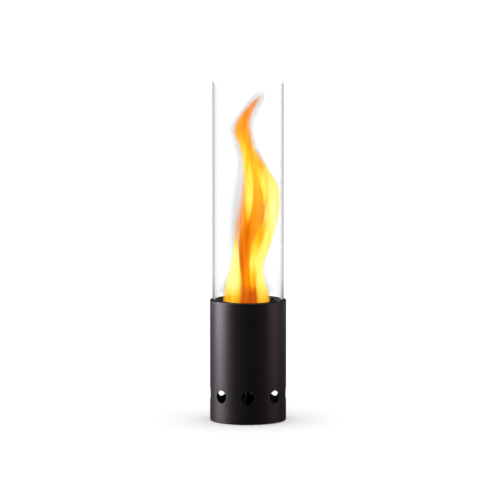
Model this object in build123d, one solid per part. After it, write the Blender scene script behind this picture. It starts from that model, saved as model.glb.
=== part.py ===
from build123d import *
from dataclasses import dataclass
from math import cos, radians, sin, sqrt
import os

# A tall outdoor heater that burns bioethanol under a glass chimney. It stands on the ground or on a table.
# Air enters the round holes near the foot of a steel casing and rises round the burner. A louvred ring
# then sets it spinning, so that the flame turns inside the glass.
# Millimetres, +Z up, origin on the ground at the centre of the casing. The front is -Y.

# Casing
base_diameter = 120.0
base_wall = 2.0
rim_height = 191.0
floor_gap = 1.0
casing_edge_round = 0.7
air_hole_count = 8
air_hole_diameter = 20.5
air_hole_height = 42.0
air_hole_edge = 0.35

# Glass chimney, which stands on a gasket inside the casing
glass_length = 370.0
glass_wall = 3.0
glass_sunk = 26.0
glass_gap = 1.8
glass_edge_round = 1.2
gasket_thickness = 2.0
gasket_margin = 0.8
gasket_edge_round = 0.5

# Louvred ring, which carries the gasket and steers the air
ring_thickness = 1.5
ring_clearance = 0.3
ring_lip_height = 4.0
ring_lip_wall = 1.2
louvres_per_quarter = 4
louvre_angle = 12.5
louvre_tilt = 32.0
louvre_margin = 0.9

# Burner, which drops through the ring and stands on a tray
swirl_gap = 10.5
can_clearance = 1.0
can_wall = 0.8
can_corner_radius = 4.0
can_floor_dish = 5.0
can_foot_width = 6.0
collar_drop = 1.0
collar_sheet = 1.0
collar_bead_radius = 0.9
collar_mouth_inset = 4.0
collar_skirt_depth = 8.0
crimp_clearance = 0.3
lip_overhang = 3.6
seal_thickness = 0.8
screen_depth = 16.0
screen_thickness = 1.0
screen_hole_diameter = 4.0
screen_hole_pitch = 6.0
core_clearance = 0.4
snap_wire_diameter = 1.8
snap_gap_angle = 16.0

# Tray under the burner, and the post that carries it
tray_height = 78.0
tray_sheet = 1.5
tray_rim_height = 7.0
tray_clearance = 0.8
tray_corner_radius = 3.0
tray_hole_diameter = 9.0
tray_hole_count = 6
post_hex_flats = 13.0
post_hex_length = 23.0
post_stem_radius = 4.25
post_thread_depth = 14.0

# Brackets spot-welded to the inside of the casing
bracket_thickness = 1.5
bracket_width = 14.0
bracket_drop = 13.0
weld_overlap = 2.0
lug_rise = 12.0
lug_reach = 12.0

# Ballast plate and feet
plate_thickness = 8.0
plate_clearance = 0.4
plate_chamfer = 0.8
counterbore_depth = 4.2
drain_hole_diameter = 8.0
drain_circle_share = 0.6
foot_height = 2.5
foot_edge_round = 0.75
foot_radius = 8.0
foot_stem_radius = 3.0
foot_barb_radius = 3.9
foot_barb_height = 2.5
foot_barb_tip_radius = 2.1
foot_edge_gap = 5.0

# Centring springs between the casing and the glass
spring_width = 10.0
spring_height = 17.0
spring_thickness = 0.4
spring_touch_gap = 0.2

# Fasteners: their clearances, and shares of the sizes of the thread that they have
hole_clearance = 0.25
thread_clearance = 0.05
running_gap = 0.5
screw_tail = 1.2
washer_thickness = 0.6
corner_turned_share = 0.8
head_round_share = 0.4
socket_flats_share = 0.825
pan_socket_depth_share = 0.6
countersunk_socket_depth_share = 0.7
screw_tip_share = 0.2


@dataclass
class Thread:
    """The sizes of one metric thread with its pan head and its nut."""

    radius: float
    head_radius: float
    head_height: float
    nut_flats: float
    nut_height: float


M3 = Thread(1.5, 2.75, 1.25, 5.5, 2.4)
M4 = Thread(2.0, 4.0, 2.9, 7.0, 3.2)
M5 = Thread(2.5, 4.75, 2.9, 8.0, 4.0)
M6 = Thread(3.0, 5.75, 3.3, 10.0, 5.0)

# Sizes that follow from those above
quarter = 90.0
corner_per_flat = 2 / sqrt(3)
base_radius = base_diameter / 2
casing_inner = base_radius - base_wall
air_hole_radius = air_hole_diameter / 2
glass_outer = casing_inner - glass_gap
glass_inner = glass_outer - glass_wall
glass_foot = rim_height - glass_sunk
ring_top = glass_foot - gasket_thickness
ring_bottom = ring_top - ring_thickness
gasket_inner = glass_inner - gasket_margin
gasket_outer = glass_outer + gasket_margin
can_outer = glass_inner - swirl_gap
can_inner = can_outer - can_wall
ring_bore = can_outer + can_clearance
louvre_inner = ring_bore + ring_lip_wall + louvre_margin
louvre_outer = gasket_inner - louvre_margin
louvre_middle = (louvre_inner + louvre_outer) / 2
bracket_bottom = ring_bottom - bracket_thickness
collar_top_sheet = rim_height - collar_drop - collar_bead_radius
can_lip_top = collar_top_sheet - collar_sheet - seal_thickness
can_foot = tray_height + tray_sheet
screen_bottom = rim_height - collar_drop - screen_depth - screen_thickness
plate_top = foot_height + plate_thickness
lug_top = plate_top + bracket_thickness
screw_seat = foot_height + counterbore_depth
lug_screw_circle = casing_inner - bracket_thickness - M4.nut_flats * corner_per_flat / 2 - running_gap
foot_circle = casing_inner - plate_clearance - foot_radius - foot_edge_gap
drain_circle = foot_circle * drain_circle_share


def disc(radius, bottom, height):
    """A plain round plate with its lower face at the height called bottom."""
    return Pos(0, 0, bottom) * Cylinder(radius, height, align=(Align.CENTER, Align.CENTER, Align.MIN))


def tube(outer, inner, bottom, height):
    """A plain ring with its lower face at the height called bottom."""
    return disc(outer, bottom, height) - disc(inner, bottom, height)


def turned(*points):
    """A solid of revolution about Z from a closed outline of (radius, height) points."""
    return revolve(Plane.XZ * make_face(Polyline(*points, close=True)), Axis.Z)


def round_edges(shape, radius):
    """Rounds every full-circle edge of a turned piece."""
    return fillet(shape.edges().filter_by(GeomType.CIRCLE), radius)


def round_foot(shape, radius):
    """Rounds the lowest edge of a turned piece."""
    return fillet(shape.edges().sort_by(Axis.Z)[0], radius)


def spaced(shape, count=4, start=0.0):
    """Copies of a shape at even angles about Z."""
    return [Rot(0, 0, start + turn * 360 / count) * shape for turn in range(count)]


def save(name, *shapes):
    """Writes one node, which may be several separate solids."""
    solids = [solid for shape in shapes for solid in shape.solids()]
    export_step(solids[0] if len(solids) == 1 else Compound(children=solids), f"parts/{name}.step")


def hexagon(flats, bottom, height):
    """A hexagonal prism of a given width across flats."""
    return Pos(0, 0, bottom) * extrude(RegularPolygon(flats * corner_per_flat / 2, 6), height)


def nut(thread):
    """A hexagonal nut standing on the XY plane, with its corners turned off on both faces."""
    corner = thread.nut_flats * corner_per_flat / 2
    turned_off = (corner - thread.nut_flats / 2) * corner_turned_share
    barrel = chamfer(disc(corner, 0, thread.nut_height).edges(), turned_off)
    bore = disc(thread.radius + thread_clearance, 0, thread.nut_height)
    return (hexagon(thread.nut_flats, 0, thread.nut_height) & barrel) - bore


def pan_screw(thread, length):
    """A pan-head screw with a hexagon socket. Its head is down, and bears on the XY plane."""
    bottom = -thread.head_height
    head = disc(thread.head_radius, bottom, thread.head_height)
    head = round_foot(head, thread.head_height * head_round_share)
    socket_depth = thread.head_height * pan_socket_depth_share
    socket = hexagon(thread.head_radius * socket_flats_share, bottom, socket_depth)
    tip = disc(thread.radius, 0, length).edges().sort_by(Axis.Z)[-1]
    shank = chamfer(tip, thread.radius * screw_tip_share)
    return head + shank - socket


def countersunk_screw(thread, length):
    """A countersunk screw with a hexagon socket, with its top face on the XY plane."""
    cone = thread.head_radius - thread.radius
    tip = thread.radius * screw_tip_share
    body = turned(
        (0, 0),
        (thread.head_radius, 0),
        (thread.radius, -cone),
        (thread.radius, tip - length),
        (thread.radius - tip, -length),
        (0, -length),
    )
    socket_depth = cone * countersunk_socket_depth_share
    return body - hexagon(thread.head_radius * socket_flats_share, -socket_depth, socket_depth)


def base_casing():
    """The outer casing: a length of tube with a row of round air holes near its foot."""
    casing = tube(base_radius, casing_inner, floor_gap, rim_height - floor_gap)
    casing = round_edges(casing, casing_edge_round)
    drill = Pos(0, -base_radius, air_hole_height) * Rot(90, 0, 0) * Cylinder(air_hole_radius, base_radius)
    for hole in spaced(drill, air_hole_count):
        casing -= hole
    reach = air_hole_radius + air_hole_edge
    rims = casing.edges().filter_by(lambda edge: abs(edge.center().Z - air_hole_height) < reach)
    return fillet(rims, air_hole_edge)


def ballast_plate():
    """A thick steel disc that closes the foot of the casing and keeps the heater upright."""
    plate = disc(casing_inner - plate_clearance, foot_height, plate_thickness)
    plate = chamfer(plate.edges(), plate_chamfer)
    lug_hole = disc(M4.radius + hole_clearance, foot_height, plate_thickness)
    lug_hole += disc(M4.head_radius + running_gap, foot_height, counterbore_depth)
    post_hole = disc(M6.radius + hole_clearance, foot_height, plate_thickness)
    post_hole += disc(M6.head_radius + running_gap, foot_height, counterbore_depth)
    stem_hole = disc(foot_stem_radius + thread_clearance, foot_height, plate_thickness)
    drain = disc(drain_hole_diameter / 2, foot_height, plate_thickness)
    plate -= post_hole
    for cut in spaced(Pos(lug_screw_circle, 0, 0) * lug_hole, start=quarter / 2):
        plate -= cut
    for cut in spaced(Pos(foot_circle, 0, 0) * stem_hole):
        plate -= cut
    for cut in spaced(Pos(drain_circle, 0, 0) * drain, start=quarter / 2):
        plate -= cut
    return plate


def angle_bracket(level, reach, rise, screw_circle, screw_radius):
    """A folded angle welded to the casing. One leg lies inward, the other runs up or down the wall."""
    leg_centre = Pos(casing_inner + (weld_overlap - reach) / 2, 0, level + bracket_thickness / 2)
    leg = leg_centre * Box(reach + weld_overlap, bracket_width, bracket_thickness)
    low = level if rise > 0 else level + bracket_thickness + rise
    wall_centre = Pos(casing_inner + (weld_overlap - bracket_thickness) / 2, 0, low + abs(rise) / 2)
    wall = wall_centre * Box(bracket_thickness + weld_overlap, bracket_width, abs(rise))
    folded = (leg + wall) & disc(casing_inner, level - abs(rise), 2 * abs(rise) + bracket_thickness)
    return folded - Pos(screw_circle, 0, 0) * disc(screw_radius + hole_clearance, level, bracket_thickness)


def rubber_foot():
    """A push-in foot: a pad under the plate, a stem through it and a barb that holds it from above."""
    pad = round_foot(disc(foot_radius, 0, foot_height), foot_edge_round)
    stem = disc(foot_stem_radius, foot_height, plate_thickness)
    barb_top = plate_top + foot_barb_height
    barb = turned(
        (0, plate_top), (foot_barb_radius, plate_top), (foot_barb_tip_radius, barb_top), (0, barb_top)
    )
    return pad + stem + barb


def burner_post():
    """The post under the burner: hexagonal bar below, turned down to a round stem above."""
    hex_top = plate_top + post_hex_length
    body = hexagon(post_hex_flats, plate_top, post_hex_length)
    corner = post_hex_flats * corner_per_flat / 2
    turned_off = (corner - post_hex_flats / 2) * corner_turned_share
    body &= chamfer(disc(corner, plate_top, post_hex_length).edges(), turned_off)
    stem = disc(post_stem_radius, hex_top, tray_height - hex_top)
    lower_thread = disc(M6.radius + thread_clearance, plate_top, post_thread_depth)
    upper_thread = disc(M5.radius + thread_clearance, tray_height - post_thread_depth, post_thread_depth)
    return body + stem - lower_thread - upper_thread


def burner_tray():
    """A pressed dish that stands the burner upright, with holes that let spilt fuel and rain through."""
    inner = can_outer + tray_clearance
    outside = disc(inner + tray_sheet, tray_height, tray_rim_height + tray_sheet)
    outside = round_foot(outside, tray_corner_radius)
    inside = disc(inner, tray_height + tray_sheet, tray_rim_height)
    inside = round_foot(inside, tray_corner_radius - tray_sheet)
    tray = outside - inside
    tray -= disc(M5.radius + hole_clearance, tray_height, tray_sheet)
    drain = disc(tray_hole_diameter / 2, tray_height, tray_sheet)
    for cut in spaced(Pos(can_outer / 2, 0, 0) * drain, tray_hole_count):
        tray -= cut
    return tray


def louvre():
    """One louvre: a window cut in the ring and a tilted blade left standing from one end of it."""
    half = radians(louvre_angle / 2)
    reach = 2 * louvre_outer
    corners = [(reach * sin(-half), reach * cos(half)), (reach * sin(half), reach * cos(half))]
    wedge = extrude(make_face(Polyline((0, 0), *corners, close=True)), ring_thickness)
    window = Pos(0, 0, ring_bottom) * wedge & tube(louvre_outer, louvre_inner, ring_bottom, ring_thickness)
    half_chord = louvre_middle * sin(half)
    blade_width = louvre_outer - louvre_inner - 2 * ring_clearance
    hinge = Pos(-half_chord, louvre_middle, ring_bottom + ring_thickness / 2)
    blade = hinge * Rot(0, -louvre_tilt, 0) * Box(
        2 * half_chord, blade_width, ring_thickness, align=(Align.MIN, Align.CENTER, Align.CENTER)
    )
    root = hinge * Box(2 * ring_thickness, blade_width, ring_thickness)
    return window, blade + root


def swirl_ring():
    """The louvred ring. The glass stands on its outer edge, and its tilted blades spin the rising air."""
    ring = tube(casing_inner - ring_clearance, ring_bore, ring_bottom, ring_thickness)
    ring += tube(ring_bore + ring_lip_wall, ring_bore, ring_bottom, ring_thickness + ring_lip_height)
    window, blade = louvre()
    step = quarter / (louvres_per_quarter + 1)
    in_quarter = [place * step for place in range(1, louvres_per_quarter + 1)]
    places = [side * quarter + place for side in range(4) for place in in_quarter]
    for place in places:
        ring -= Rot(0, 0, place) * window
    for place in places:
        ring += Rot(0, 0, place) * blade
    cone = M3.head_radius - M3.radius
    sink = turned(
        (0, ring_top),
        (M3.head_radius + thread_clearance, ring_top),
        (M3.radius + thread_clearance, ring_top - cone),
        (M3.radius + thread_clearance, ring_bottom),
        (0, ring_bottom),
    )
    for cut in spaced(Pos(louvre_middle, 0, 0) * sink):
        ring -= cut
    return ring


def centring_spring():
    """A bowed leaf of spring steel, spot-welded to the casing, that keeps the glass central."""
    middle = glass_foot + glass_sunk / 2
    corner = spring_width / 2
    back = sqrt(casing_inner**2 - corner**2) - thread_clearance
    crown = glass_outer + spring_touch_gap
    low = middle - spring_height / 2
    high = middle + spring_height / 2
    outline = [
        ThreePointArc((back, low), (crown + spring_thickness, middle), (back, high)),
        Line((back, high), (back - spring_thickness, high)),
        ThreePointArc((back - spring_thickness, high), (crown, middle), (back - spring_thickness, low)),
        Line((back - spring_thickness, low), (back, low)),
    ]
    return extrude(Plane.XZ * make_face(outline), corner, both=True)


def burner_can():
    """The fuel can: a deep-drawn cup with a raised floor and a lip turned out at its top."""
    outside = round_foot(disc(can_outer, can_foot, can_lip_top - can_foot), can_corner_radius)
    inside_foot = can_foot + can_wall
    inside = disc(can_inner, inside_foot, can_lip_top - inside_foot)
    inside = round_foot(inside, can_corner_radius - can_wall)
    lip = tube(can_outer + lip_overhang, can_inner, can_lip_top - can_wall, can_wall)
    dish_foot = can_outer - can_foot_width
    dish_top = dish_foot - can_floor_dish
    dish = turned(
        (0, can_foot),
        (dish_foot, can_foot),
        (dish_top, can_foot + can_floor_dish),
        (0, can_foot + can_floor_dish),
    )
    return outside + lip - inside + Pos(0, 0, can_wall) * dish - dish


def burner_collar():
    """The pressed ring round the burner's mouth, crimped over the lip of the can."""
    plate_bottom = can_lip_top + seal_thickness
    mouth = can_outer - collar_mouth_inset
    skirt_inner = can_outer + lip_overhang + crimp_clearance
    skirt_outer = skirt_inner + collar_sheet
    fold_bottom = can_lip_top - can_wall - crimp_clearance - collar_sheet
    plate = tube(skirt_outer, mouth, plate_bottom, collar_sheet)
    skirt = tube(skirt_outer, skirt_inner, fold_bottom, collar_top_sheet - fold_bottom)
    fold = tube(skirt_outer, can_outer + crimp_clearance, fold_bottom, collar_sheet)
    drip_edge = tube(mouth + collar_sheet, mouth, collar_top_sheet - collar_skirt_depth, collar_skirt_depth)
    bead = collar_bead_radius
    outer_bead = Pos(0, 0, collar_top_sheet) * Torus(skirt_outer - bead, bead)
    inner_bead = Pos(0, 0, collar_top_sheet) * Torus(mouth + bead, bead)
    return plate + skirt + fold + drip_edge + outer_bead + inner_bead


def wool_screen():
    """A perforated steel disc that holds the fibre core down. The flame burns above it."""
    radius = can_inner - core_clearance
    row_pitch = screen_hole_pitch * sqrt(3) / 2
    rows = int(radius / row_pitch)
    holes = []
    for row in range(-rows, rows + 1):
        shift = screen_hole_pitch / 2 if row % 2 else 0.0
        for column in range(-rows - 1, rows + 2):
            along = column * screen_hole_pitch + shift
            across = row * row_pitch
            if sqrt(along**2 + across**2) + screen_hole_diameter < radius:
                holes.append(Pos(along, across) * Circle(screen_hole_diameter / 2))
    return Pos(0, 0, screen_bottom) * extrude(Circle(radius) - holes, screen_thickness)


def snap_ring():
    """An open ring of spring wire, sprung into the can above the screen."""
    wire = snap_wire_diameter / 2
    centre = can_inner - wire - thread_clearance
    section = Plane.XZ * Pos(centre, screen_bottom + screen_thickness + wire) * Circle(wire)
    return Rot(0, 0, snap_gap_angle / 2) * revolve(section, Axis.Z, revolution_arc=360 - snap_gap_angle)


os.makedirs("parts", exist_ok=True)

# Casing, its foot and the plate that closes it
save("base_casing", base_casing())
save("ballast_plate", ballast_plate())
save("rubber_feet", *spaced(Pos(foot_circle, 0, 0) * rubber_foot()))
plate_lug = angle_bracket(plate_top, lug_reach, lug_rise, lug_screw_circle, M4.radius)
save("plate_lugs", *spaced(plate_lug, start=quarter / 2))
save("lug_nuts", *spaced(Pos(lug_screw_circle, 0, lug_top) * nut(M4), start=quarter / 2))
plate_screw_length = lug_top + M4.nut_height + screw_tail - screw_seat
plate_screw = Pos(lug_screw_circle, 0, screw_seat) * pan_screw(M4, plate_screw_length)
save("plate_screws", *spaced(plate_screw, start=quarter / 2))

# Post and tray under the burner
save("burner_post", burner_post())
post_screw_length = plate_top + post_thread_depth - screw_tail - screw_seat
save("post_screw", Pos(0, 0, screw_seat) * pan_screw(M6, post_screw_length))
save("burner_tray", burner_tray())
tray_screw_length = tray_sheet + post_thread_depth - screw_tail
save("tray_screw", Pos(0, 0, can_foot) * Rot(180, 0, 0) * pan_screw(M5, tray_screw_length))

# Louvred ring and the seat of the glass
bracket_reach = casing_inner - ring_bore - running_gap
ring_bracket = angle_bracket(bracket_bottom, bracket_reach, -bracket_drop, louvre_middle, M3.radius)
save("ring_brackets", *spaced(ring_bracket))
save("swirl_ring", swirl_ring())
washer = tube(M3.nut_flats * corner_per_flat / 2, M3.radius + hole_clearance, 0, washer_thickness)
save("ring_washers", *spaced(Pos(louvre_middle, 0, bracket_bottom - washer_thickness) * washer))
ring_nut_bottom = bracket_bottom - washer_thickness - M3.nut_height
save("ring_nuts", *spaced(Pos(louvre_middle, 0, ring_nut_bottom) * nut(M3)))
ring_screw_length = ring_top - ring_nut_bottom + screw_tail
save("ring_screws", *spaced(Pos(louvre_middle, 0, ring_top) * countersunk_screw(M3, ring_screw_length)))
save("centring_springs", *spaced(centring_spring(), start=quarter / 2))
gasket = tube(gasket_outer, gasket_inner, ring_top, gasket_thickness)
save("glass_gasket", round_edges(gasket, gasket_edge_round))

# Glass chimney
chimney = tube(glass_outer, glass_inner, glass_foot, glass_length)
save("glass_chimney", round_edges(chimney, glass_edge_round))

# Burner, which lifts out
save("burner_can", burner_can())
save("burner_collar", burner_collar())
save("collar_seal", tube(can_outer + lip_overhang, can_inner, can_lip_top, seal_thickness))
core_bottom = can_foot + can_floor_dish + can_wall
save("fibre_core", disc(can_inner - core_clearance, core_bottom, screen_bottom - core_bottom))
save("wool_screen", wool_screen())
save("snap_ring", snap_ring())
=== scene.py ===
from math import pi

import bmesh
import bpy
from mathutils import Matrix, Vector


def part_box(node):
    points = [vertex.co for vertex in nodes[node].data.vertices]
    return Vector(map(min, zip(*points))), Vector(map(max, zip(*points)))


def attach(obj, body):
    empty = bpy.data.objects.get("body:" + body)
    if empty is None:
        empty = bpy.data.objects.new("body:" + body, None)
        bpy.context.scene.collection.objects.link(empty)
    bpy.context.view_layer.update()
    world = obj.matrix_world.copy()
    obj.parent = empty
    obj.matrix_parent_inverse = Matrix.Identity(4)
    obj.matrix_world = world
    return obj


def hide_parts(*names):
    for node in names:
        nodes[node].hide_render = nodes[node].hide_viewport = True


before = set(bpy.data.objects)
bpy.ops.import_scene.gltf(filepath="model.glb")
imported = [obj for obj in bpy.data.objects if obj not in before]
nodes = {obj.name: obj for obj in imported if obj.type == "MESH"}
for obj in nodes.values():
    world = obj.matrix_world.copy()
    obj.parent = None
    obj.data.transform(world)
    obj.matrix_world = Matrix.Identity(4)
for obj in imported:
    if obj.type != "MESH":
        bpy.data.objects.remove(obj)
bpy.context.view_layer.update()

MM = 0.001


# ---------------------------------------------------------------- Setting
# The heater stands on a wide pale floor under an even white sky, as in a studio tent. Two tall softboxes,
# one on each side, put the long highlights on its black casing. They do not light the floor. Reflections
# see a much darker sky and a grey floor, in place of the black flags round a glossy black object, and only
# the floor behind the heater stays light for them, which keeps the edges of the glass pale from the front.

def linear(hex_code, alpha=1.0):
    """A linear colour from an sRGB hex value."""
    parts = [int(hex_code[i:i + 2], 16) / 255 for i in (1, 3, 5)]
    return (*[c / 12.92 if c <= 0.04045 else ((c + 0.055) / 1.055) ** 2.4 for c in parts], alpha)


def add_node(tree, kind, inputs=None, **settings):
    """Adds a shader node. inputs gives sockets a plain value, or the output that feeds them."""
    node = tree.nodes.new(kind)
    for name, value in settings.items():
        setattr(node, name, value)
    for socket, value in (inputs or {}).items():
        if isinstance(value, bpy.types.NodeSocket):
            tree.links.new(value, node.inputs[socket])
        else:
            node.inputs[socket].default_value = value
    return node


def new_material(name):
    """A material with nothing but its output node, and that node."""
    material = bpy.data.materials.new(name)
    material.use_nodes = True
    material.node_tree.nodes.clear()
    return material, material.node_tree, add_node(material.node_tree, "ShaderNodeOutputMaterial")


def mesh_object(bm, name, material=None, smooth=True):
    """Turns a finished bmesh into an object at the origin."""
    mesh = bpy.data.meshes.new(name)
    bm.to_mesh(mesh)
    bm.free()
    piece = bpy.data.objects.new(name, mesh)
    bpy.context.scene.collection.objects.link(piece)
    if material:
        mesh.materials.append(material)
    for face in mesh.polygons:
        face.use_smooth = smooth
    return piece


def only_mirrored(tree):
    """1 for a ray that has been reflected on its way, 0 for one that is straight or came through glass."""
    path = add_node(tree, "ShaderNodeLightPath").outputs
    reflected = add_node(tree, "ShaderNodeMath", {0: path["Glossy Depth"], 1: 0.5}, operation="GREATER_THAN")
    sharp = add_node(tree, "ShaderNodeMath", {0: 1.0, 1: path["Is Diffuse Ray"]}, operation="SUBTRACT")
    both = {0: reflected.outputs[0], 1: sharp.outputs[0]}
    return add_node(tree, "ShaderNodeMath", both, operation="MULTIPLY").outputs[0]


floor_half = 60.0
floor_colour = linear("#FAFAFA")
near_floor_in_gloss = linear("#524F4F")
far_floor_in_gloss = linear("#C4C4C4")
far_starts = (1.2, 1.9)
far_ends = (8.5, 10.0)
behind_depth = 0.9
sky_strength = 1.17
sky_in_gloss_strength = 0.012

floor_paint, tree, output = new_material("matt_white_studio_paper")
where = add_node(tree, "ShaderNodeTexCoord").outputs["Object"]
away = add_node(tree, "ShaderNodeVectorMath", {0: where}, operation="LENGTH")
distance = away.outputs["Value"]
opens = add_node(tree, "ShaderNodeMapRange", {"Value": distance, 1: far_starts[0], 2: far_starts[1]})
fades = {"Value": distance, 1: far_ends[0], 2: far_ends[1], 3: 1.0, 4: 0.0}
closes = add_node(tree, "ShaderNodeMapRange", fades)
band = add_node(tree, "ShaderNodeMath", {0: opens.outputs[0], 1: closes.outputs[0]}, operation="MULTIPLY")
back = add_node(tree, "ShaderNodeSeparateXYZ", {0: where}).outputs["Y"]
behind = add_node(tree, "ShaderNodeMapRange", {"Value": back, 1: 0.0, 2: behind_depth})
far = add_node(tree, "ShaderNodeMath", {0: band.outputs[0], 1: behind.outputs[0]}, operation="MULTIPLY")
reflected_floor = {0: far.outputs[0], 1: near_floor_in_gloss, 2: far_floor_in_gloss}
in_gloss = add_node(tree, "ShaderNodeMixRGB", reflected_floor)
paper_colour = {0: only_mirrored(tree), 1: floor_colour, 2: in_gloss.outputs[0]}
paper = add_node(tree, "ShaderNodeMixRGB", paper_colour)
matt = add_node(tree, "ShaderNodeBsdfDiffuse", {"Color": paper.outputs[0]})
tree.links.new(matt.outputs[0], output.inputs[0])

bm = bmesh.new()
bmesh.ops.create_grid(bm, x_segments=1, y_segments=1, size=floor_half)
floor = mesh_object(bm, "floor", floor_paint, smooth=False)

sky = bpy.data.worlds.new("studio_tent")
sky.use_nodes = True
bpy.context.scene.world = sky
tree = sky.node_tree
tree.nodes.clear()
tent = add_node(tree, "ShaderNodeBackground", {"Color": linear("#FFFFFF"), "Strength": sky_strength})
dim = {"Color": linear("#FFFFFF"), "Strength": sky_in_gloss_strength}
dark_tent = add_node(tree, "ShaderNodeBackground", dim)
mixed = add_node(
    tree, "ShaderNodeMixShader", {0: only_mirrored(tree), 1: tent.outputs[0], 2: dark_tent.outputs[0]}
)
add_node(tree, "ShaderNodeOutputWorld", {"Surface": mixed.outputs[0]})

off_the_floor = bpy.data.collections.new("not_lit_by_softboxes")
off_the_floor.objects.link(floor)
off_the_floor.collection_objects[0].light_linking.link_state = "EXCLUDE"


def softbox(name, place, aim, width, height, watts, colour):
    """A rectangular area light, turned to face a point. It lights the heater and leaves the floor alone, so
    that the only shadow there is the soft one close round the foot."""
    lamp = bpy.data.lights.new(name, "AREA")
    lamp.shape = "RECTANGLE"
    lamp.size = width
    lamp.size_y = height
    lamp.energy = watts
    lamp.color = linear(colour)[:3]
    holder = bpy.data.objects.new(name, lamp)
    holder.location = place
    holder.rotation_euler = (Vector(aim) - Vector(place)).to_track_quat("-Z", "Y").to_euler()
    bpy.context.scene.collection.objects.link(holder)
    holder.light_linking.receiver_collection = off_the_floor
    return holder


lit_point = (0, 0, 0.1)
softbox_height = 1.9
softbox("left_softbox", (-1.77, 0.08, 0.5), lit_point, 1.25, softbox_height, watts=122, colour="#FFF2FF")
softbox("right_softbox", (1.88, -0.22, 0.5), lit_point, 1.2, softbox_height, watts=18, colour="#FFD8DE")

camera_data = bpy.data.cameras.new("camera")
camera_data.sensor_width = 36.0
camera_data.lens = 302.3
camera_data.clip_end = 200.0
camera = bpy.data.objects.new("camera", camera_data)
camera.location = (0.003, -6.556, 1.03)
camera_aim = Vector((0.003, 0.0, 0.2693))
camera.rotation_euler = (camera_aim - camera.location).to_track_quat("-Z", "Y").to_euler()
bpy.context.scene.collection.objects.link(camera)
bpy.context.scene.camera = camera
bpy.context.scene.view_settings.view_transform = "Standard"
bpy.context.scene.cycles.transparent_max_bounces = 160


def repaint(material, *names):
    """Gives CAD nodes a finish."""
    for name in names:
        mesh = nodes[name].data
        mesh.materials.clear()
        mesh.materials.append(material)


def varied_finish(
    name, light, dark, roughness, cloud=40.0, grain=900.0, relief=0.0001, stretch=(1, 1, 1), **more
):
    """A finish whose colour and gloss drift in soft clouds, over a fine grain. cloud and grain are in cells
    to the metre, and stretch draws both out along an axis. Gives the material, its tree and its shader."""
    material, tree, output = new_material(name)
    where = add_node(tree, "ShaderNodeTexCoord").outputs["Object"]
    drawn = add_node(tree, "ShaderNodeMapping", {"Vector": where, "Scale": stretch})
    clouds = add_node(tree, "ShaderNodeTexNoise", {"Vector": drawn.outputs[0], "Scale": cloud, "Detail": 3.0})
    grains = add_node(tree, "ShaderNodeTexNoise", {"Vector": drawn.outputs[0], "Scale": grain, "Detail": 2.0})
    patchy = add_node(tree, "ShaderNodeMapRange", {"Value": clouds.outputs[0], 1: 0.3, 2: 0.7})
    tint = add_node(tree, "ShaderNodeMixRGB", {0: patchy.outputs[0], 1: linear(light), 2: linear(dark)})
    gloss = {"Value": clouds.outputs[0], 1: 0.3, 2: 0.7, 3: roughness[0], 4: roughness[1]}
    rough = add_node(tree, "ShaderNodeMapRange", gloss)
    uneven = {"Height": grains.outputs[0], "Strength": 0.6, "Distance": relief}
    bump = add_node(tree, "ShaderNodeBump", uneven)
    sockets = {"Base Color": tint.outputs[0], "Roughness": rough.outputs[0], "Normal": bump.outputs[0]}
    shader = add_node(tree, "ShaderNodeBsdfPrincipled", sockets)
    for socket, value in more.items():
        shader.inputs[socket.replace("_", " ")].default_value = value
    tree.links.new(shader.outputs[0], output.inputs["Surface"])
    return material, tree, shader


def stain(tree, shader, mask, code):
    """Lays another colour over a shader's own, where the mask is 1."""
    under = shader.inputs["Base Color"].links[0].from_socket
    over = add_node(tree, "ShaderNodeMixRGB", {0: mask, 1: under, 2: linear(code)})
    tree.links.new(over.outputs[0], shader.inputs["Base Color"])


def height_mask(tree, clear, full):
    """0 at the height called clear, rising to 1 at the height called full, with an uneven edge."""
    where = add_node(tree, "ShaderNodeTexCoord").outputs["Object"]
    height = add_node(tree, "ShaderNodeSeparateXYZ", {0: where}).outputs["Z"]
    ragged = add_node(tree, "ShaderNodeTexNoise", {"Vector": where, "Scale": 90.0, "Detail": 3.0})
    reach = abs(full - clear)
    sway = add_node(tree, "ShaderNodeMapRange", {"Value": ragged.outputs[0], 3: -0.4 * reach, 4: 0.4 * reach})
    level = add_node(tree, "ShaderNodeMath", {0: height, 1: sway.outputs[0]}, operation="ADD")
    return add_node(tree, "ShaderNodeMapRange", {"Value": level.outputs[0], 1: clear, 2: full}).outputs[0]


# ---------------------------------------------------------------- Casing
# Mild steel tube, cut, drilled and powder coated satin black, with the lugs and brackets welded inside it.
# The coating leaves a fine orange peel of about 0.7 mm, it is thin and grey on the edge of the rim, and
# the inside is duller than the outside and painted blacker, as shade inside the tube.

powder, tree, shader = varied_finish(
    "satin_black_powder_coat", "#0A0708", "#070506", (0.37, 0.43),
    cloud=45.0, grain=1400.0, relief=0.00004, IOR=1.5
)
low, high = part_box("base_casing")
stain(tree, shader, height_mask(tree, high.z - 0.6 * MM, high.z), "#2A2728")
where = add_node(tree, "ShaderNodeTexCoord").outputs["Object"]
flat = add_node(tree, "ShaderNodeVectorMath", {0: where, 1: (1, 1, 0)}, operation="MULTIPLY")
radius = add_node(tree, "ShaderNodeVectorMath", {0: flat.outputs[0]}, operation="LENGTH").outputs["Value"]
# Painted shade: within the tube wall, and on the lugs and brackets inside it, the coat is coloured near black
# and made rough.
soot_and_painted_shade = add_node(tree, "ShaderNodeMapRange", {"Value": radius, 1: high.x - 1.4 * MM, 2: high.x - 1.8 * MM})
stain(tree, shader, soot_and_painted_shade.outputs[0], "#030303")
polish = shader.inputs["Roughness"].links[0].from_socket
dulled = add_node(tree, "ShaderNodeMapRange", {"Value": soot_and_painted_shade.outputs[0], 3: polish, 4: 0.95})
tree.links.new(dulled.outputs[0], shader.inputs["Roughness"])
repaint(powder, "base_casing", "plate_lugs", "ring_brackets")


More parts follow.
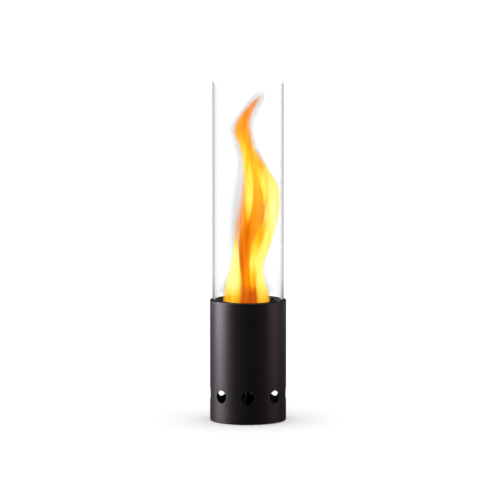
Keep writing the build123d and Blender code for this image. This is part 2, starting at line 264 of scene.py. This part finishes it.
# ---------------------------------------------------------------- Ballast plate
# A disc of 8 mm hot-rolled steel under a thin coat of matt black paint. Mill scale shows through the paint
# as soft mottling, and the plate is screwed up against the lugs from below.

plate_paint, tree, shader = varied_finish(
    "matt_black_paint_on_rolled_steel", "#1B1A1A", "#0E0D0D", (0.6, 0.75),
    cloud=60.0, grain=700.0, relief=0.00012,
    Specular_IOR_Level=0.2
)
repaint(plate_paint, "ballast_plate")


# ---------------------------------------------------------------- Rubber feet
# Moulded EPDM rubber, pushed into the plate. Rubber looks matt and slightly grey, and dust dulls it towards
# the floor.

rubber, tree, shader = varied_finish(
    "moulded_epdm_rubber", "#222223", "#161617", (0.7, 0.85), cloud=120.0, grain=1800.0, relief=0.00008
)
low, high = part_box("rubber_feet")
stain(tree, shader, height_mask(tree, low.z + 1.6 * MM, low.z), "#3B3A38")
repaint(rubber, "rubber_feet")


# ---------------------------------------------------------------- Screws, nuts and washers
# Bright zinc plated steel. The plating is a soft silver with faint blue and straw patches from its last
# dip, a few millimetres across.

zinc, tree, shader = varied_finish(
    "bright_zinc_plated_steel", "#C3C8CC", "#A6A59C", (0.26, 0.42),
    cloud=260.0, grain=2200.0, relief=0.00002, Metallic=1.0
)
repaint(
    zinc, "lug_nuts", "plate_screws", "post_screw", "tray_screw", "ring_washers", "ring_nuts", "ring_screws"
)


# ---------------------------------------------------------------- Burner post
# Hexagonal steel bar turned down on a lathe, then oil blackened. The tool leaves rings round it, 0.15 mm
# apart on the real one and drawn at 0.5 mm here so that they show.

turned_steel, tree, shader = varied_finish(
    "oil_blackened_turned_steel", "#232120", "#171615", (0.36, 0.5), cloud=50.0, grain=2000.0, relief=0.00004,
    stretch=(0.04, 0.04, 1.0), Metallic=1.0
)
repaint(turned_steel, "burner_post")


# ---------------------------------------------------------------- Burner tray
# A pressed steel dish in heat-proof matt black. Dried fuel leaves paler rings in the bottom of it.

tray_paint, tree, shader = varied_finish(
    "heat_proof_matt_black_paint", "#181716", "#0D0C0C", (0.58, 0.78),
    cloud=70.0, grain=1200.0, relief=0.00008
)
where = add_node(tree, "ShaderNodeTexCoord").outputs["Object"]
rings = add_node(tree, "ShaderNodeTexWave",
                 {"Vector": where, "Scale": 22.0, "Distortion": 6.0, "Detail": 2.0},
                 wave_type="RINGS", rings_direction="Z")
dried = add_node(tree, "ShaderNodeMapRange", {"Value": rings.outputs["Fac"], 1: 0.86, 2: 1.0, 3: 0.0, 4: 0.5})
stain(tree, shader, dried.outputs[0], "#3A3733")
repaint(tray_paint, "burner_tray")


# ---------------------------------------------------------------- Louvred ring
# Sheet steel, pierced and pressed so that its tilted blades stand out, then stoved satin black. Heat greys
# the coating a little in patches.

ring_paint, tree, shader = varied_finish(
    "stoved_black_enamel_paint", "#0F0D0D", "#080707", (0.45, 0.58), cloud=80.0, grain=1300.0, relief=0.00005,
    Specular_IOR_Level=0.2
)
repaint(ring_paint, "swirl_ring")


# ---------------------------------------------------------------- Centring springs
# Leaves of blued spring steel, 0.4 mm thick. The blueing runs from slate to straw, and rolling leaves fine
# lines along the strip.

blued, tree, shader = varied_finish(
    "blued_spring_steel", "#2E3440", "#3A332C", (0.34, 0.46), cloud=110.0, grain=1600.0, relief=0.00003,
    stretch=(1.0, 1.0, 0.08), Metallic=1.0
)
repaint(blued, "centring_springs")


# ---------------------------------------------------------------- Glass gasket
# Needled glass-fibre felt soaked in graphite. Its fibres, a few millimetres long, lie every way and catch
# the light as grey flecks.

felt, tree, shader = varied_finish(
    "graphited_glass_fibre_felt", "#191919", "#0B0B0B", (0.88, 0.98),
    cloud=500.0, grain=1500.0, relief=0.0004,
    Sheen_Weight=0.2, Sheen_Roughness=0.5
)
where = add_node(tree, "ShaderNodeTexCoord").outputs["Object"]
laid = {"Vector": where, "Rotation": (0.4, 0.2, 0.7), "Scale": (1, 7, 1)}
lying = add_node(tree, "ShaderNodeMapping", laid)
fibres = add_node(tree, "ShaderNodeTexNoise", {"Vector": lying.outputs[0], "Scale": 420.0, "Detail": 2.0})
flecks = add_node(tree, "ShaderNodeMapRange", {"Value": fibres.outputs[0], 1: 0.6, 2: 0.7, 3: 0.0, 4: 0.6})
stain(tree, shader, flecks.outputs[0], "#3C3C3D")
repaint(felt, "glass_gasket")


# ---------------------------------------------------------------- Glass chimney
# A length of drawn borosilicate tube, 3 mm thick, with its ends melted round in a flame. It is clear, and
# where the eye looks along the wall it shows a soft grey-green line.

low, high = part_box("glass_chimney")
end_round = 1.2 * MM

glass, tree, output = new_material("clear_drawn_borosilicate_glass")
where = add_node(tree, "ShaderNodeTexCoord").outputs["Object"]
height = add_node(tree, "ShaderNodeSeparateXYZ", {0: where}).outputs["Z"]
rim_roughness = 0.8
to_the_rim = {"Value": height, 1: high.z - 2 * end_round, 2: high.z - end_round, 3: 0.0, 4: rim_roughness}
melted = add_node(tree, "ShaderNodeMapRange", to_the_rim)
clear = add_node(
    tree,
    "ShaderNodeBsdfPrincipled",
    {
        "Base Color": linear("#FFFFFF"),
        "Roughness": melted.outputs[0],
        "IOR": 1.47,
        "Specular Tint": linear("#303030"),
        "Transmission Weight": 1.0,
    },
)
passing = add_node(tree, "ShaderNodeBsdfTransparent", {"Color": linear("#FAFCFB")})
shadow = add_node(tree, "ShaderNodeLightPath").outputs["Is Shadow Ray"]
pane = add_node(tree, "ShaderNodeMixShader", {0: shadow, 1: clear.outputs[0], 2: passing.outputs[0]})
absorb = add_node(tree, "ShaderNodeVolumeAbsorption", {"Color": linear("#C4D2CA"), "Density": 14.0})
tree.links.new(pane.outputs[0], output.inputs["Surface"])
tree.links.new(absorb.outputs[0], output.inputs["Volume"])

glass_outer = high.x
glass_wall = 3.0 * MM
bm = bmesh.new()
bmesh.ops.create_grid(bm, x_segments=1, y_segments=1, size=0.5)
bmesh.ops.scale(bm, vec=(glass_wall, 1, 1), verts=bm.verts)
bmesh.ops.rotate(bm, cent=(0, 0, 0), matrix=Matrix.Rotation(pi / 2, 3, "X"), verts=bm.verts)
bmesh.ops.scale(bm, vec=(1, 1, high.z - low.z), verts=bm.verts)
bmesh.ops.translate(bm, vec=(glass_outer - glass_wall / 2, 0, (low.z + high.z) / 2), verts=bm.verts)
bmesh.ops.bevel(
    bm, geom=bm.verts[:], offset=end_round, affect="VERTICES", segments=6, profile=0.5, material=-1
)
for cut in (low.z + 2 * end_round, high.z - 2 * end_round):
    everything = bm.verts[:] + bm.edges[:] + bm.faces[:]
    bmesh.ops.bisect_plane(bm, geom=everything, plane_co=(0, 0, cut), plane_no=(0, 0, 1))
bmesh.ops.delete(bm, geom=bm.faces[:], context="FACES_ONLY")
bmesh.ops.delete(bm, geom=[edge for edge in bm.edges if edge.is_wire and edge.calc_length() > 2 * MM and
                           abs(edge.verts[0].co.z - edge.verts[1].co.z) < 0.1 * MM], context="EDGES")
bmesh.ops.spin(
    bm, geom=bm.verts[:] + bm.edges[:], cent=(0, 0, 0), axis=(0, 0, 1), angle=2 * pi, steps=128,
    use_merge=True
)
bmesh.ops.recalc_face_normals(bm, faces=bm.faces)
chimney = mesh_object(bm, "chimney", glass)
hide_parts("glass_chimney")
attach(chimney, "glass")


# ---------------------------------------------------------------- Fuel can
# Deep-drawn stainless steel. Drawing leaves fine upright lines, and the flame has tinted the top of the wall
# from straw to a dull blue.

drawn_steel, tree, shader = varied_finish(
    "deep_drawn_stainless_steel", "#C9C6C0", "#A9A6A1", (0.24, 0.36), cloud=60.0, grain=900.0, relief=0.00003,
    stretch=(1.0, 1.0, 0.06), Metallic=1.0
)
low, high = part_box("burner_can")
stain(tree, shader, height_mask(tree, high.z - 40 * MM, high.z - 14 * MM), "#A98A5C")
stain(tree, shader, height_mask(tree, high.z - 16 * MM, high.z - 4 * MM), "#5B5C70")
repaint(drawn_steel, "burner_can")


# ---------------------------------------------------------------- Collar and its seal
# The collar is pressed steel in heat-proof black, crimped over the can with a seal of graphite paper under
# it. The paint at the mouth has gone brown and grey with heat.

collar_paint, tree, shader = varied_finish(
    "heat_proof_satin_black_paint", "#0A0808", "#050404", (0.45, 0.58),
    cloud=90.0, grain=1300.0, relief=0.00005,
    Specular_IOR_Level=0.12
)
where = add_node(tree, "ShaderNodeTexCoord").outputs["Object"]
flat = add_node(tree, "ShaderNodeVectorMath", {0: where, 1: (1, 1, 0)}, operation="MULTIPLY")
radius = add_node(tree, "ShaderNodeVectorMath", {0: flat.outputs[0]}, operation="LENGTH").outputs["Value"]
low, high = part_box("burner_collar")
mouth = high.x - 8.5 * MM
near_mouth = {"Value": radius, 1: mouth + 2.2 * MM, 2: mouth, 3: 0.0, 4: 0.55}
baked = add_node(tree, "ShaderNodeMapRange", near_mouth)
stain(tree, shader, baked.outputs[0], "#2E241D")
repaint(collar_paint, "burner_collar")

seal_paper, tree, shader = varied_finish(
    "rolled_graphite_paper", "#3A3A3B", "#28282A", (0.45, 0.6),
    cloud=300.0, grain=1500.0, relief=0.00005, Metallic=0.4
)
repaint(seal_paper, "collar_seal")


# ---------------------------------------------------------------- Fibre core
# Pressed ceramic wool that holds the fuel so that it can't spill. It is off-white, matted in short fibres,
# and scorched brown where the flame sits on it.

wool, tree, shader = varied_finish(
    "pressed_ceramic_wool", "#EFEAE0", "#D9D2C4", (0.9, 1.0), cloud=150.0, grain=1100.0, relief=0.0006,
    Sheen_Weight=0.15, Sheen_Roughness=0.6
)
low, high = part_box("fibre_core")
stain(tree, shader, height_mask(tree, high.z - 9 * MM, high.z - 1 * MM), "#6B5138")
repaint(wool, "fibre_core")


# ---------------------------------------------------------------- Screen and snap ring
# Perforated stainless sheet, held down by a ring of spring wire. Both sit in the flame, which has coloured
# them in patches of straw, brown and violet and dulled their shine.

hot_steel, tree, shader = varied_finish(
    "flame_tinted_stainless_steel", "#8C7458", "#54506A", (0.34, 0.52),
    cloud=55.0, grain=1500.0, relief=0.00004,
    Metallic=1.0
)
where = add_node(tree, "ShaderNodeTexCoord").outputs["Object"]
soot = add_node(tree, "ShaderNodeTexNoise", {"Vector": where, "Scale": 38.0, "Detail": 4.0})
soot_and_painted_shade = add_node(tree, "ShaderNodeMapRange", {"Value": soot.outputs[0], 1: 0.48, 2: 0.66, 3: 0.0, 4: 0.8})
stain(tree, shader, soot_and_painted_shade.outputs[0], "#241F1D")
repaint(hot_steel, "wool_screen", "snap_ring")


# ---------------------------------------------------------------- Flame
# Burning alcohol vapour. The spinning air draws it up in tongues that wind round each other. It is a glow
# without a surface, so each tongue is a nest of thin shells that grow denser towards its heart.

flame_glow, tree, output = new_material("burning_alcohol_vapour")
tone = add_node(tree, "ShaderNodeAttribute", attribute_name="tone")
heart = add_node(tree, "ShaderNodeAttribute", attribute_name="heart")
where = add_node(tree, "ShaderNodeTexCoord").outputs["Object"]
stretched = add_node(tree, "ShaderNodeMapping", {"Vector": where, "Scale": (110.0, 110.0, 11.0)})
streaks = add_node(tree, "ShaderNodeTexNoise", {"Vector": stretched.outputs[0], "Scale": 1.0, "Detail": 2.0})
swing = {"Value": streaks.outputs[0], 1: 0.25, 2: 0.75, 3: -0.17, 4: 0.17}
shift = add_node(tree, "ShaderNodeMapRange", swing)
hue = add_node(tree, "ShaderNodeMath", {0: tone.outputs["Fac"], 1: shift.outputs[0]}, operation="ADD")
ramp = add_node(tree, "ShaderNodeValToRGB", {"Fac": hue.outputs[0]})
flame_colours = {
    0.0: "#FFFF9C",
    0.12: "#FFF56A",
    0.25: "#FFDC46",
    0.38: "#FDC022",
    0.5: "#FAA812",
    0.62: "#F7920C",
    0.74: "#E9750A",
    0.86: "#D05808",
    0.94: "#A84408",
    # The brown last stop darkens the flame's edge, painted shade.
    1.0: "#8E6A48",
}
stops = ramp.color_ramp.elements
for place, code in flame_colours.items():
    stop = stops[0] if place == 0.0 else stops[-1] if place == 1.0 else stops.new(place)
    stop.color = linear(code)
glow = add_node(tree, "ShaderNodeEmission", {"Color": ramp.outputs[0], "Strength": 1.14})
gap = add_node(tree, "ShaderNodeBsdfTransparent", {"Color": linear("#FFFFFF")})
veil = add_node(tree, "ShaderNodeMixShader", {0: heart.outputs["Fac"], 1: gap.outputs[0], 2: glow.outputs[0]})
tree.links.new(veil.outputs[0], output.inputs["Surface"])


# A grey veil round the flame, widest at its foot and lying behind it: painted shade, a soft darkening of the
# white seen round the flame.
painted_shade_veil, tree, output = new_material("grey_veil_of_painted_shade")
strength = add_node(tree, "ShaderNodeAttribute", attribute_name="heart")
where = add_node(tree, "ShaderNodeTexCoord").outputs["Object"]
stretched = add_node(tree, "ShaderNodeMapping", {"Vector": where, "Scale": (60.0, 60.0, 12.0)})
shade_patches = add_node(tree, "ShaderNodeTexNoise", {"Vector": stretched.outputs[0], "Scale": 1.0, "Detail": 1.0})
grey = add_node(tree, "ShaderNodeMixRGB", {0: shade_patches.outputs[0], 1: linear("#6E6266"), 2: linear("#5E5660")})
grey_shade_emission = add_node(tree, "ShaderNodeEmission", {"Color": grey.outputs[0], "Strength": 1.0})
gap = add_node(tree, "ShaderNodeBsdfTransparent", {"Color": linear("#FFFFFF")})
thin = {0: strength.outputs["Fac"], 1: gap.outputs[0], 2: grey_shade_emission.outputs[0]}
veil = add_node(tree, "ShaderNodeMixShader", thin)
tree.links.new(veil.outputs[0], output.inputs["Surface"])


def between(rows, height):
    """The row of numbers at a height, on a smooth curve through the rows given."""
    index = max([at for at, row in enumerate(rows[:-1]) if row[0] <= height], default=0)
    start, end = rows[index], rows[index + 1]
    before, after = rows[max(index - 1, 0)], rows[min(index + 2, len(rows) - 1)]
    step = end[0] - start[0]
    share = (height - start[0]) / step
    square, cube = share ** 2, share ** 3
    found = []
    for past, here, there, beyond in zip(before, start, end, after):
        rise_here = (there - past) / (end[0] - before[0]) * step
        rise_there = (beyond - here) / (after[0] - start[0]) * step
        held = (2 * cube - 3 * square + 1) * here + (3 * square - 2 * cube) * there
        found.append(held + (cube - 2 * square + share) * rise_here + (cube - square) * rise_there)
    return found


soft_shells = [1.0, 0.93, 0.86, 0.78, 0.69, 0.58, 0.44]
crisp_shells = [1.0, 0.95, 0.88, 0.78, 0.62]


def tongue(name, rows, shells, painted_shade_edge=0.0, material=flame_glow, levels=48, sides=28):
    """A tongue of flame. Each row has, in millimetres, a height, the centre across and back, and the half
    width across and back, and then a tone and a strength. shells gives the size of each nested layer. The
    outermost shell can have its tone pushed towards dark orange and brown, painted shade along the tongue's
    edge."""
    bm = bmesh.new()
    tone_layer = bm.verts.layers.float.new("tone")
    heart_layer = bm.verts.layers.float.new("heart")
    low, high = rows[0][0], rows[-1][0]
    for depth, size in enumerate(shells):
        ring = bmesh.ops.create_circle(bm, segments=sides, radius=1.0, cap_ends=True)["verts"]
        edges = list({edge for vert in ring for edge in vert.link_edges})
        placed = Matrix.Identity(4)
        for level in range(levels + 1):
            if level:
                grown = bmesh.ops.extrude_edge_only(bm, edges=edges)["geom"]
                ring = [part for part in grown if isinstance(part, bmesh.types.BMVert)]
                edges = [part for part in grown if isinstance(part, bmesh.types.BMEdge)]
            at = low + (high - low) * level / levels
            height, across, back, wide, deep, hue, strength = between(rows, at)
            scale = Matrix.Diagonal((max(wide, 0.2) * size * MM, max(deep, 0.2) * size * MM, 1, 1))
            turn = Matrix.Translation((across * MM, back * MM, height * MM)) @ scale
            bmesh.ops.transform(bm, matrix=turn @ placed.inverted(), verts=ring)
            placed = turn
            share = depth / (len(shells) - 1)
            for vert in ring:
                # Painted shade: the outermost shell's tone is pushed towards dark orange and brown, a dark
                # edge round the tongue.
                vert[tone_layer] = hue + painted_shade_edge * (depth == 0)
                vert[heart_layer] = max(strength, 0.0) * (0.12 + 0.88 * share ** 1.2)
        bmesh.ops.contextual_create(bm, geom=edges)
    bmesh.ops.recalc_face_normals(bm, faces=bm.faces)
    piece = mesh_object(bm, name, material)
    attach(piece, "burner")
    return piece


tongue("flame_body", [
    (176, 2, 0, 20, 18, 0.86, 0.0),
    (184, 2, 0, 20, 18, 0.86, 0.45),
    (202, 2, 0, 19, 17, 0.82, 0.50),
    (222, 1, 0, 16, 15, 0.66, 0.50),
    (246, -2, 0, 15, 15, 0.62, 0.50),
    (281, 1, 0, 20, 17, 0.60, 0.50),
    (317, 5, 1, 25, 19, 0.62, 0.50),
    (349, 10, 1, 24.5, 19, 0.56, 0.50),
    (381, 10.5, 0, 21, 17, 0.44, 0.50),
    (396, 9, -1, 18.5, 15, 0.42, 0.48),
    (421, 2, -2, 13.5, 12, 0.44, 0.5),
    (436, -3, -2, 13.5, 11, 0.50, 0.48),
    (457, -9, -2, 15.5, 11, 0.55, 0.46),
    (471, -8, -1, 13, 10, 0.58, 0.40),
    (490, 1.5, 2, 9, 8, 0.60, 0.30),
    (505, 13, 4, 6, 5, 0.62, 0.15),
    (514, 21, 6, 2, 2, 0.66, 0.0),
], soft_shells)

tongue("flame_dark_core", [
    (176, 2, -12, 12, 8, 0.92, 0.0),
    (184, 2, -12, 12, 8, 0.92, 0.50),
    (203, 2, -12, 11.5, 8, 0.90, 0.50),
    (222, -2.5, -13, 8, 7, 0.76, 0.48),
    (246, -5.5, -13, 8, 6, 0.76, 0.46),
    (263, -6, -13, 8.5, 6, 0.80, 0.46),
    (281, -5.5, -13, 9.5, 6, 0.80, 0.44),
    (300, -3.5, -14, 9.5, 6, 0.78, 0.36),
    (317, 0, -15, 8, 5, 0.72, 0.24),
    (335, 2, -15, 5, 4, 0.66, 0.0),
], soft_shells)

tongue("flame_left_foot", [
    (176, -26, -9, 13, 10, 0.55, 0.0),
    (184, -26, -9, 14, 10, 0.50, 0.44),
    (196, -25.5, -9, 14.5, 10, 0.40, 0.50),
    (203, -25, -9, 14, 10, 0.26, 0.50),
    (212, -24, -9, 13.2, 10, 0.12, 0.50),
    (222, -23, -9, 12.5, 10, 0.06, 0.50),
    (246, -20.5, -8, 8.5, 9, 0.03, 0.50),
    (263, -19.5, -7, 5.5, 8, 0.06, 0.44),
    (281, -19, -5, 3.6, 7, 0.28, 0.34),
    (301, -18.5, -3, 2.8, 6, 0.5, 0.2),
    (322, -17, -2, 2, 5, 0.6, 0.0),
], crisp_shells, painted_shade_edge=0.8)

tongue("flame_right_foot", [
    (176, 23, -6, 11, 10, 0.50, 0.0),
    (184, 23.5, -6, 11, 10, 0.45, 0.40),
    (202, 22.5, -6, 11, 10, 0.28, 0.48),
    (222, 19, -7, 8.5, 9, 0.10, 0.50),
    (246, 16, -8, 9, 8, 0.08, 0.50),
    (265, 19, -9, 9.5, 8, 0.10, 0.46),
    (281, 25, -10, 10, 9, 0.12, 0.40),
    (298, 31, -11, 9, 9, 0.12, 0.22),
    (312, 35, -11, 6, 7, 0.12, 0.0),
], crisp_shells, painted_shade_edge=0.8)

tongue("flame_right_lobe", [
    (246, 20, 0, 4, 6, 0.12, 0.0),
    (265, 23.5, -1, 8, 9, 0.10, 0.40),
    (281, 27.5, -2, 10, 12, 0.08, 0.48),
    (301, 32, -3, 11.5, 14, 0.08, 0.50),
    (317, 35, -3, 12, 15, 0.06, 0.50),
    (338, 38, -3, 13, 15, 0.05, 0.50),
    (352, 38.5, -2, 13, 15, 0.08, 0.50),
    (366, 37, -1, 13, 14, 0.12, 0.46),
    (379, 33, 0, 12, 12, 0.20, 0.44),
    (393, 26, 1, 9.5, 10, 0.30, 0.40),
    (410, 18, 1, 7, 8, 0.48, 0.30),
    (430, 11, 0, 4, 6, 0.56, 0.0),
], crisp_shells, painted_shade_edge=0.8)

tongue("flame_golden_stream", [
    (205, 5, -18, 4, 3, 0.60, 0.0),
    (222, 8, -18, 6, 4, 0.44, 0.30),
    (236, 8.5, -18, 6.5, 5, 0.28, 0.44),
    (250, 8.5, -18, 7, 5, 0.16, 0.46),
    (265, 10.5, -18, 7.5, 5, 0.24, 0.44),
    (281, 14, -18, 9, 5, 0.36, 0.40),
    (300, 21, -17, 9, 5, 0.42, 0.26),
    (320, 27, -16, 6, 4, 0.44, 0.0),
], soft_shells)

tongue("flame_yellow_streak", [
    (312, -1, -19, 2, 2, 0.45, 0.0),
    (332, 0.5, -20, 5, 3, 0.28, 0.36),
    (352, 1.5, -20, 7, 3, 0.14, 0.48),
    (381, 1.5, -18, 7.5, 3, 0.16, 0.48),
    (402, -1, -16, 7, 3, 0.26, 0.42),
    (421, -4, -14, 6, 3, 0.34, 0.34),
    (440, -9, -13, 5, 2, 0.38, 0.2),
    (458, -12, -12, 3, 2, 0.44, 0.0),
], soft_shells)

tongue("flame_upper_band", [
    (340, 26, -16, 3, 3, 0.30, 0.0),
    (358, 27, -16, 5, 4, 0.22, 0.26),
    (376, 24, -15, 7, 4, 0.22, 0.34),
    (393, 18, -14, 6, 4, 0.30, 0.30),
    (410, 11, -13, 5, 3, 0.40, 0.22),
    (430, 4, -12, 3, 2, 0.46, 0.0),
], soft_shells)

tongue("flame_back_left", [
    (182, -12, 17, 9, 5, 0.40, 0.0),
    (205, -14, 17, 10, 6, 0.22, 0.44),
    (235, -12, 18, 9, 5, 0.06, 0.48),
    (265, -9, 19, 7, 5, 0.12, 0.44),
    (300, -4, 21, 7, 4, 0.28, 0.36),
    (340, 4, 22, 6, 4, 0.22, 0.34),
    (380, 9, 19, 5, 4, 0.30, 0.28),
    (415, 5, 14, 3, 3, 0.44, 0.0),
], soft_shells)

tongue("flame_back_right", [
    (178, 14, 15, 11, 6, 0.80, 0.0),
    (198, 14, 16, 11, 6, 0.76, 0.44),
    (232, 12, 16, 9, 5, 0.74, 0.44),
    (270, 14, 17, 10, 5, 0.70, 0.42),
    (305, 22, 17, 9, 5, 0.60, 0.34),
    (340, 30, 14, 6, 4, 0.50, 0.0),
], soft_shells)

# Painted shade: the grey veil round the flame.
tongue("flame_painted_shade_veil", [
    (196, -3, 18, 49, 20, 0, 0.0),
    (203, -3, 18, 48, 20, 0, 0.08),
    (220, -3, 18, 41, 18, 0, 0.045),
    (246, -1, 18, 35, 16, 0, 0.035),
    (300, 4, 18, 40, 16, 0, 0.055),
    (345, 9, 18, 43, 16, 0, 0.055),
    (378, 11, 16, 39, 15, 0, 0.045),
    (410, 4, 14, 26, 13, 0, 0.045),
    (440, -6, 12, 22, 11, 0, 0.045),
    (462, -10, 12, 23, 10, 0, 0.04),
    (485, 0, 12, 18, 10, 0, 0.045),
    (508, 15, 12, 14, 9, 0, 0.045),
    (524, 22, 12, 5, 4, 0, 0.0),
], [1.0, 0.95, 0.9, 0.85, 0.8, 0.75, 0.7], material=painted_shade_veil)
